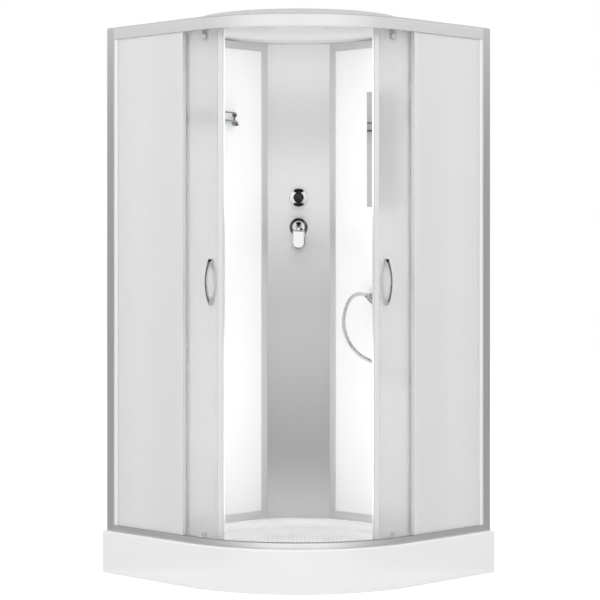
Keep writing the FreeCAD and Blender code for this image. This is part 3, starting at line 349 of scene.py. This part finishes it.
# Fixed panes. Tempered glass, frosted by etching, stands in the rails' slots and the wall
# profile. A white strip wedges it at the wall, and a clear vinyl trim caps its free edge.
INWARD = {"left": 1, "right": -1}
VINYL_EDGE = 0.0003
TRIM_SHADOW_REACH = 0.004


def frosted_glass(name, clear, frosting, dark, light):
    material, shader = shader_of(name, grey(light), frosting)
    shader.inputs["Transmission Weight"].default_value = clear
    shader.inputs["IOR"].default_value = 1.35
    frost = grain_of(shader, (420, 420, 420), 5.0)
    tint(shader, frost, grey(dark), grey(light))
    roughen(shader, frost, 0.95 * frosting, 1.05 * frosting)
    return material


def clear_vinyl():
    material, shader = shader_of("clear_vinyl", (0.92, 0.92, 0.92), 0.3)
    shader.inputs["Transmission Weight"].default_value = 0.15
    drawn = grain_of(shader, (900, 900, 2), 2.0)
    roughen(shader, drawn, 0.24, 0.38)
    return material


def end_cut(node, way, reach):
    """The plane that takes a reach off the end of a node, on the side that a direction points to."""
    tip = max(vertex.co.dot(way) for vertex in nodes[node].data.vertices)
    return way * (tip - reach), way


fixed_frost = frosted_glass("fixed_frost", 0.25, 0.36, 0.88, 0.92)
# The trim's last 4 mm takes a grey, a painted shadow of the gap between the pane and the door.
trim_edge_painted_shadow = moulded_rubber("trim_edge_painted_shadow", 0.8, 0.86)
vinyl = clear_vinyl()
for side, inward in INWARD.items():
    dress(fixed_frost, side + "_fixed_glass")
    dress(white_elastomer, side + "_glass_gasket")
    trim = side + "_fixed_edge_seal"
    trim_shadow_cut = end_cut(trim, Vector((inward, 0, 0)), TRIM_SHADOW_REACH)
    softened(trim, VINYL_EDGE, [vinyl, trim_edge_painted_shadow], cut=trim_shadow_cut)

# Doors. Curved frosted panes with a vinyl strip on the meeting edge, whose nose holds a grey
# magnet. Two chromed bow handles share the studs that pass through each pane.
MAGNET_NOSE = 0.005
HANDLE_EDGE = 0.0018
door_frost = frosted_glass("door_frost", 0.62, 0.25, 0.85, 0.87)
handle_chrome = chrome_plate("handle_chrome", 0.82)
grey_magnet = moulded_rubber("grey_magnet", 0.64, 0.7)
travel = {joint["name"]: joint for joint in frame["record"]["behaviour"]["joints"]}
for side, inward in INWARD.items():
    dress(door_frost, side + "_door_glass")
    opened = math.radians(travel[side + "_door_travel"]["range_deg"][0])
    nose_way = Matrix.Rotation(inward * opened, 3, "Z") @ Vector((inward, 0, 0))
    strip = side + "_edge_seal"
    nose_cut = end_cut(strip, nose_way, MAGNET_NOSE)
    softened(strip, VINYL_EDGE, [vinyl, grey_magnet], cut=nose_cut)
    softened(side + "_handles", HANDLE_EDGE, [handle_chrome], segments=3)

# Running gear. Coated steel hangers and bright guides are bolted through the glass. Nylon
# wheels run on the rails' lips, and rubber blocks stop the doors where they stand open.


def satin_steel():
    material, shader = shader_of("satin_steel", (0.8, 0.8, 0.81), 0.45, 0.5)
    brushed = grain_of(shader, (900, 900, 30), 3.0)
    roughen(shader, brushed, 0.4, 0.52)
    emboss(shader, brushed, 0.1, 0.0001)
    return material


bright_steel = satin_steel()
pale_coating = moulded_plastic("pale_coating", grey(0.62), grey(0.68))
nylon = moulded_plastic("white_nylon", (0.84, 0.84, 0.82), (0.9, 0.9, 0.88), 0.35)
for side in ("left", "right"):
    dress(pale_coating, side + "_upper_hangers")
    dress(bright_steel, side + "_lower_guides")
    for rail in ("upper", "lower"):
        dress(nylon, f"{side}_{rail}_lead_wheel", f"{side}_{rail}_trail_wheel")
dress(black_rubber, "rail_stops")

# Back panels and centre column. Glossy white sheets are held in aluminium frames that stand on
# the tray's ledge. The column is a plate of brushed grey, set across the corner between the
# frames, whose colour has painted reflection and shade in soft darker and lighter bands up its height.
PAINTED_BAND_TOP = 2.0
# Heights in metres and greys of the painted reflection and shade up the column.
COLUMN_PAINTED_BANDS = ((0.12, 0.66), (0.4, 0.44), (0.9, 0.61), (1.4, 0.85), (1.66, 0.71), (1.9, 0.89))


def glossy_sheet():
    material, shader = shader_of("white_sheet", (0.92, 0.92, 0.92), 0.16)
    waves = grain_of(shader, (5, 5, 5), 1.0)
    roughen(shader, waves, 0.136, 0.192)
    emboss(shader, waves, 0.03, 0.002)
    return material


def brushed_sheet_painted_reflection_and_shade():
    """Brushed lines over painted reflection and shade, in greys that change with the height."""
    material, shader = shader_of("brushed_sheet_painted_reflection_and_shade", (0.66, 0.66, 0.66), 0.36, 0.7)
    brushed = grain_of(shader, (60, 60, 1100), 4.0)
    tree = material.node_tree
    place = tree.nodes.new("ShaderNodeTexCoord")
    apart = tree.nodes.new("ShaderNodeSeparateXYZ")
    tree.links.new(place.outputs["Object"], apart.inputs["Vector"])
    height = tree.nodes.new("ShaderNodeMapRange")
    height.inputs["From Max"].default_value = PAINTED_BAND_TOP
    tree.links.new(apart.outputs["Z"], height.inputs["Value"])
    painted_bands = tree.nodes.new("ShaderNodeValToRGB")
    stops = painted_bands.color_ramp.elements
    for mark, shade in COLUMN_PAINTED_BANDS:
        stops.new(mark / PAINTED_BAND_TOP).color = (*grey(shade), 1)
    stops.remove(stops[0])
    stops.remove(stops[-1])
    painted_bands.color_ramp.interpolation = "EASE"
    tree.links.new(height.outputs["Result"], painted_bands.inputs["Fac"])
    lined = tree.nodes.new("ShaderNodeVectorMath")
    lined.operation = "MULTIPLY"
    tree.links.new(painted_bands.outputs["Color"], lined.inputs[0])
    tint(shader, brushed, grey(0.92), grey(1), lined.inputs[1])
    tree.links.new(lined.outputs["Vector"], shader.inputs["Base Color"])
    roughen(shader, brushed, 0.32, 0.46)
    emboss(shader, brushed, 0.1, 0.0002)
    return material


def pale_aluminium():
    material, shader = shader_of("pale_aluminium", (0.74, 0.74, 0.74), 0.42, 0.7)
    drawn = grain_of(shader, (300, 300, 300), 3.0)
    tint(shader, drawn, grey(0.71), grey(0.77))
    roughen(shader, drawn, 0.36, 0.48)
    return material


white_sheet = glossy_sheet()
dress(brushed_sheet_painted_reflection_and_shade(), "centre_column")
frame_finish = pale_aluminium()
for side in ("left", "right"):
    softened(side + "_panel_frame", EXTRUSION_EDGE, [frame_finish])
    dress(white_sheet, side + "_back_panel")

# Mixer and diverter. Chromed brass covers, and a lever over a domed cap, sit on necks that come
# through the column from a cast brass valve body behind it. The knob has a black face. A plastic
# pipe leads from the body to the hose outlet.
FITTING_EDGE = 0.0008
PADDLE_ROUND = 0.0045
PADDLE_FRONT = -0.9
KNOB_INSERT = 0.008


def cast_brass():
    material, shader = shader_of("cast_brass", (0.66, 0.5, 0.24), 0.45, 1.0)
    sand = grain_of(shader, (600, 600, 600), 4.0)
    tint(shader, sand, (0.58, 0.43, 0.2), (0.72, 0.56, 0.28))
    emboss(shader, sand, 0.3, 0.0004)
    return material


def rounded_paddle(lever):
    """Rounds the rim of the lever's largest face among those that look to the front."""
    paddle = bmesh.new()
    paddle.from_mesh(lever.data)
    front = max(paddle.faces, key=lambda face: face.calc_area() * (face.normal.y < PADDLE_FRONT))
    rim = [edge for edge in front.edges if edge.calc_face_angle(0) > EASE_ANGLE]
    bmesh.ops.bevel(paddle, geom=rim, offset=PADDLE_ROUND, segments=4, profile=0.5, affect="EDGES",
                    material=-1, clamp_overlap=False)
    paddle.to_mesh(lever.data)
    paddle.free()
    lever.data.shade_smooth()
    lever.data.set_sharp_from_angle(angle=EASE_ANGLE)


dress(cast_brass(), "valve_body")
dress(white_plastic, "outlet_pipe")
for cover in ("mixer_escutcheon", "diverter_escutcheon"):
    softened(cover, FITTING_EDGE, [chrome], segments=3)
# The cap's chrome is darker, a painted dark reflection.
softened("mixer_cap", FITTING_EDGE, [chrome_plate("cap_chrome_painted_dark_reflection", 0.5)], segments=3)
rounded_paddle(softened("mixer_lever", FITTING_EDGE, [chrome], segments=3))
black_insert = moulded_plastic("black_insert", grey(0.008), grey(0.014), 0.2)
insert_cut = end_cut("diverter_knob", Vector((0, -1, 0)), KNOB_INSERT)
softened("diverter_knob", FITTING_EDGE, [chrome, black_insert], segments=3, cut=insert_cut)

# Hose outlet, hose and hand shower. A chromed cone on the right wall feeds a smooth silver
# hose, whose far end has the cone that stands in the wall bracket under the hand shower. Soft
# nozzles stand in rings on the spray face. The hose's points are measured from the room's corner.
HOSE_DIAMETER = 0.013
HOSE_START = (0.09202, 0.447, 0.99301)
HOSE_ROUTE = (
    (0.130, 0.447, 1.004), (0.193, 0.455, 0.975), (0.234, 0.466, 0.907), (0.245, 0.490, 0.843),
    (0.214, 0.521, 0.776), (0.165, 0.565, 0.744), (0.130, 0.606, 0.708), (0.106, 0.660, 0.674),
    (0.096, 0.716, 0.686), (0.093, 0.746, 0.745), (0.092, 0.753, 0.838), (0.094, 0.759, 0.948),
    (0.093, 0.757, 1.082), (0.091, 0.759, 1.216), (0.092, 0.758, 1.318),
)
ROOM_TURN = math.radians(225)
NOZZLE_STEP = 0.0095
NOZZLE_RINGS = 3
FIRST_RING_COUNT = 6
NOZZLE_FOOT = 0.0013
NOZZLE_TIP = 0.0008
NOZZLE_LENGTH = 0.0018
NOZZLE_RISE = 0.0005


def silver_hose():
    material, shader = shader_of("silver_hose", (0.7, 0.7, 0.71), 0.2, 1.0)
    # A black edge tint darkens the hose's reflection towards its edges, a painted shade.
    shader.inputs["Specular Tint"].default_value = (0, 0, 0, 1)
    haze = grain_of(shader, (260, 260, 260), 2.0)
    roughen(shader, haze, 0.16, 0.3)
    return material


satin_chrome = chrome_plate("satin_chrome", 0.5)
for fitting in ("hose_outlet", "hose_nut", "hose_cone", "hand_shower", "shower_bracket"):
    softened(fitting, FITTING_EDGE, [satin_chrome], segments=3)
corner_y = cad_box[1][1]
room = Matrix.Translation((0, corner_y, 0)) @ Matrix.Rotation(ROOM_TURN, 4, "Z")
hose_end = (0.092, 0.758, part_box("hose_cone")[0].z)
route = [room @ Vector(point) for point in (HOSE_START, *HOSE_ROUTE, hose_end)]
line = bpy.data.curves.new("hose_line", "CURVE")
line.dimensions = "3D"
line.resolution_u = 12
spline = line.splines.new("NURBS")
spline.points.add(len(route) - 1)
for point, place in zip(spline.points, route):
    point.co = (*place, 1)
spline.order_u = 3
spline.use_endpoint_u = True
guide = bpy.data.objects.new("hose_guide", line)
centre_line = bpy.data.meshes.new_from_object(guide)
line.bevel_depth = HOSE_DIAMETER / 2
line.bevel_resolution = 6
line.use_fill_caps = True
hose = bpy.data.objects.new("hose", bpy.data.meshes.new_from_object(guide))
bpy.data.objects.remove(guide)
bpy.context.scene.collection.objects.link(hose)
hose.data.materials.clear()
hose.data.materials.append(silver_hose())
hose.data.shade_smooth()
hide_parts("shower_hose")
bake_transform(hose)

dress(moulded_plastic("grey_spray_face", (0.5, 0.51, 0.52), (0.58, 0.59, 0.6)), "spray_face")
spray_mesh = nodes["spray_face"].data
spray_low, spray_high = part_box("spray_face")
spray_centre = (spray_low + spray_high) / 2
spray_way = -max(spray_mesh.polygons, key=lambda face: face.area * (face.normal.z > 0)).normal
spray_tip = max(vertex.co.dot(spray_way) for vertex in spray_mesh.vertices)
spray_front = spray_centre + spray_way * (spray_tip - spray_centre.dot(spray_way))
spray_aim = spray_way.to_track_quat("Z", "Y").to_matrix().to_4x4()
spray_plane = Matrix.Translation(spray_front) @ spray_aim
nozzles = bmesh.new()
for ring in range(NOZZLE_RINGS + 1):
    ring_count = max(1, FIRST_RING_COUNT * ring)
    for step in range(ring_count):
        turn = Matrix.Rotation(math.tau * step / ring_count, 4, "Z")
        nozzle_place = turn @ Matrix.Translation((ring * NOZZLE_STEP, 0, NOZZLE_RISE))
        bmesh.ops.create_cone(nozzles, cap_ends=True, segments=8, radius1=NOZZLE_FOOT, radius2=NOZZLE_TIP,
                              depth=NOZZLE_LENGTH, matrix=spray_plane @ nozzle_place)
spray_nozzles = piece_of("spray_nozzles", nozzles, white_elastomer)
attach(spray_nozzles, "hand_shower")

# Shelf and mirror. A bowed glass shelf rests in two chromed holders with a gallery rail, on
# the left wall. The mirror is glued to the right wall.
SHELF_EDGE = 0.001
MIRROR_EDGE = 0.002


def shelf_pane():
    material, shader = shader_of("shelf_pane", (0.86, 0.93, 0.9), 0.03)
    shader.inputs["Transmission Weight"].default_value = 0.95
    shader.inputs["IOR"].default_value = 1.5
    smears = grain_of(shader, (30, 30, 30), 2.0)
    roughen(shader, smears, 0.02, 0.06)
    return material


def silvered_glass():
    material, shader = shader_of("silvered_glass", (0.56, 0.57, 0.57), 0.02, 1.0)
    smears = grain_of(shader, (14, 14, 14), 2.0)
    roughen(shader, smears, 0.015, 0.04)
    return material


softened("shelf_glass", SHELF_EDGE, [shelf_pane()])
# The rail's chrome is darker, a painted dark reflection.
dress(chrome_plate("rail_chrome_painted_dark_reflection", 0.3), "shelf_rail")
softened("mirror", MIRROR_EDGE, [silvered_glass()])

# Roof. One vacuum-formed sheet of white acrylic with a shallow dome lies on the rails and
# panel frames. Its upper side is a darker grey than its underside.
ROOF_EDGE = 0.001
UNDERSIDE = -0.05


def grey_roof_top():
    material, shader = shader_of("grey_roof_top", (0.6, 0.6, 0.6), 0.5)
    roof_grain = grain_of(shader, (70, 70, 70), 6.0)
    tint(shader, roof_grain, grey(0.55), grey(0.64))
    roughen(shader, roof_grain, 0.42, 0.6)
    emboss(shader, roof_grain, 0.1, 0.0006)
    return material


roof = softened("roof", ROOF_EDGE, [cast_acrylic("roof_acrylic", 0.8), grey_roof_top()])
for face in roof.data.polygons:
    face.material_index = int(face.normal.z > UNDERSIDE)

# Studio. A white floor and backdrop, soft lamps in front and in the doorway, and dark flags
# that only polished metal sees. The camera stands where the photograph was taken from.
FLOOR_SIZE = 30
FLOOR_GAP = 0.001
FLOOR_GLOW = 0.45
GROUND_FLAG_LIFT = 0.002
UPRIGHT = math.pi / 2
SKY_LIGHT = 0.7
SKY_SEEN = 1.0
FRONT_LAMP = (2.0, 2.5)
FRONT_AIM = (0, 0, 1.5)
DOORWAY_LAMP = (0.45, 0.6)
DOORWAY_FRONT = -0.47


def seen_directly(tree):
    """One where a camera, mirror or glass looks at the backdrop, and nothing where it lights the object."""
    path = tree.nodes.new("ShaderNodeLightPath")
    seen = path.outputs["Is Camera Ray"]
    for way in ("Is Glossy Ray", "Is Transmission Ray"):
        either = tree.nodes.new("ShaderNodeMath")
        either.operation = "MAXIMUM"
        tree.links.new(seen, either.inputs[0])
        tree.links.new(path.outputs[way], either.inputs[1])
        seen = either.outputs["Value"]
    return seen


def stage_paint():
    """White to the eye, with the object's shadow left in it."""
    material, shader = shader_of("stage_paint", (0.85, 0.85, 0.85), 0.9)
    shader.inputs["Emission Color"].default_value = (1, 1, 1, 1)
    tree = material.node_tree
    glow = tree.nodes.new("ShaderNodeMath")
    glow.operation = "MULTIPLY"
    glow.inputs[1].default_value = FLOOR_GLOW
    tree.links.new(seen_directly(tree), glow.inputs[0])
    tree.links.new(glow.outputs["Value"], shader.inputs["Emission Strength"])
    return material


def flag_cloth(name, glow):
    """Cloth that shows one grey in polished metal."""
    material, shader = shader_of(name, (0, 0, 0), 1.0)
    shader.inputs["Emission Color"].default_value = (1, 1, 1, 1)
    shader.inputs["Emission Strength"].default_value = glow
    return material


def sheet(name, width, depth, place, material, tilt=0, turn=0):
    """A flat sheet of the studio, tilted about X and then turned about Z."""
    shape = bmesh.new()
    bmesh.ops.create_grid(shape, x_segments=1, y_segments=1, size=0.5)
    bmesh.ops.scale(shape, vec=(width, depth, 1), verts=shape.verts)
    lean = Matrix.Rotation(turn, 3, "Z") @ Matrix.Rotation(tilt, 3, "X")
    bmesh.ops.rotate(shape, cent=(0, 0, 0), matrix=lean, verts=shape.verts)
    bmesh.ops.translate(shape, vec=place, verts=shape.verts)
    piece = piece_of(name, shape, material)
    return piece


def beside(node, right, back, up):
    """The place at these distances from a node's centre."""
    low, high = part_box(node)
    return (low + high) / 2 + Vector((right, back, up))


def softbox(name, place, aim, size, power):
    """A lamp with a wide soft face, which neither the camera nor metal nor glass sees."""
    lamp = bpy.data.lights.new(name, "AREA")
    lamp.shape = "RECTANGLE"
    lamp.size, lamp.size_y = size
    lamp.energy = power
    stand = bpy.data.objects.new(name, lamp)
    bpy.context.scene.collection.objects.link(stand)
    stand.location = place
    stand.rotation_euler = (Vector(aim) - Vector(place)).to_track_quat("-Z", "Y").to_euler()
    stand.visible_camera = False
    stand.visible_glossy = False
    stand.visible_transmission = False


sheet("floor", FLOOR_SIZE, FLOOR_SIZE, (0, 0, -FLOOR_GAP), stage_paint())
black_cloth = flag_cloth("black_cloth", 0.01)
grey_cloth = flag_cloth("grey_cloth", 0.42)
dim_cloth = flag_cloth("dim_cloth", 0.2)
mixer_plate = "mixer_escutcheon"
diverter_plate = "diverter_escutcheon"
flags = [
    sheet("camera_flag", 0.6, 1.56, (0, -8.6, 0.78), black_cloth, tilt=UPRIGHT),
    sheet("ground_flag", 7.0, 5.0, (0, -5.5, GROUND_FLAG_LIFT), black_cloth),
    sheet("diverter_high_flag", 0.038, 0.019, beside(diverter_plate, 0, -0.0407, 0.0305), black_cloth,
          tilt=UPRIGHT),
    sheet("diverter_low_flag", 0.038, 0.019, beside(diverter_plate, 0, -0.0407, -0.0295), black_cloth,
          tilt=UPRIGHT),
    sheet("mixer_front_flag", 0.034, 0.033, beside(mixer_plate, 0, -0.0677, 0.0165), black_cloth,
          tilt=UPRIGHT),
    sheet("mixer_right_flag", 0.1, 0.075, beside(mixer_plate, 0.06, -0.0827, -0.0645), black_cloth,
          tilt=UPRIGHT, turn=UPRIGHT),
    sheet("mixer_low_flag", 0.08, 0.08, beside(mixer_plate, 0, -0.0727, -0.112), black_cloth),
    sheet("mixer_high_flag", 0.08, 0.08, beside(mixer_plate, 0, -0.0727, 0.058), black_cloth),
]
handle_height = beside("left_handles", 0, 0, 0).z
for side, inward in INWARD.items():
    outward = -inward
    flags += [
        sheet(side + "_flag", 8.1, 2.4, (4.5 * outward, 0.45, 1.2), grey_cloth, tilt=UPRIGHT, turn=UPRIGHT),
        sheet(side + "_handle_flag", 0.3, 1.2, (0.62 * outward, -0.55, handle_height), dim_cloth,
              tilt=UPRIGHT, turn=UPRIGHT),
        sheet(side + "_ground_flag", 3.7, 6.0, (2.6 * outward, 0, GROUND_FLAG_LIFT), grey_cloth),
        sheet(side + "_corner_flag", 1.1, 1.3, (2.7 * outward, -2.9, 1.0), black_cloth, tilt=UPRIGHT,
              turn=outward * UPRIGHT / 2),
        sheet(side + "_ceiling_flag", 1.6, 2.0, (2.0 * outward, -0.2, 4.0), black_cloth),
    ]
for flag in flags:
    flag.visible_camera = False
    flag.visible_diffuse = False
    flag.visible_transmission = False
    flag.visible_shadow = False

world = bpy.data.worlds.new("studio")
bpy.context.scene.world = world
world.use_nodes = True
sky = world.node_tree.nodes["Background"]
sky.inputs["Color"].default_value = (1, 1, 1, 1)
sky_strength = world.node_tree.nodes.new("ShaderNodeMapRange")
sky_strength.inputs["To Min"].default_value = SKY_LIGHT
sky_strength.inputs["To Max"].default_value = SKY_SEEN
world.node_tree.links.new(seen_directly(world.node_tree), sky_strength.inputs["Value"])
world.node_tree.links.new(sky_strength.outputs["Result"], sky.inputs["Strength"])

for lamp_name, outward, power in (("key", -1, 104), ("fill", 1, 98)):
    softbox(lamp_name, (4.5 * outward, -3.0, 4.2), FRONT_AIM, FRONT_LAMP, power)
for lamp_height, power in ((0.55, 3.2), (1.6, 3.4)):
    lamp_place = (0, DOORWAY_FRONT, lamp_height)
    softbox(f"doorway_fill_{lamp_height}", lamp_place, (0, 1, lamp_height), DOORWAY_LAMP, power)

CAMERA_PLACE = (0, -7.295, 1.1504)
CAMERA_YAW = 0.0007
CAMERA_SENSOR = 36
CAMERA_LENS = 119.3
CAMERA_SHIFT = -0.0777
camera = bpy.data.objects.new("camera", bpy.data.cameras.new("camera"))
bpy.context.scene.collection.objects.link(camera)
camera.location = CAMERA_PLACE
camera.rotation_euler = (UPRIGHT, 0, -CAMERA_YAW)
camera.data.sensor_width = CAMERA_SENSOR
camera.data.lens = CAMERA_LENS
camera.data.shift_y = CAMERA_SHIFT
bpy.context.scene.camera = camera
bpy.context.scene.view_settings.view_transform = "Standard"
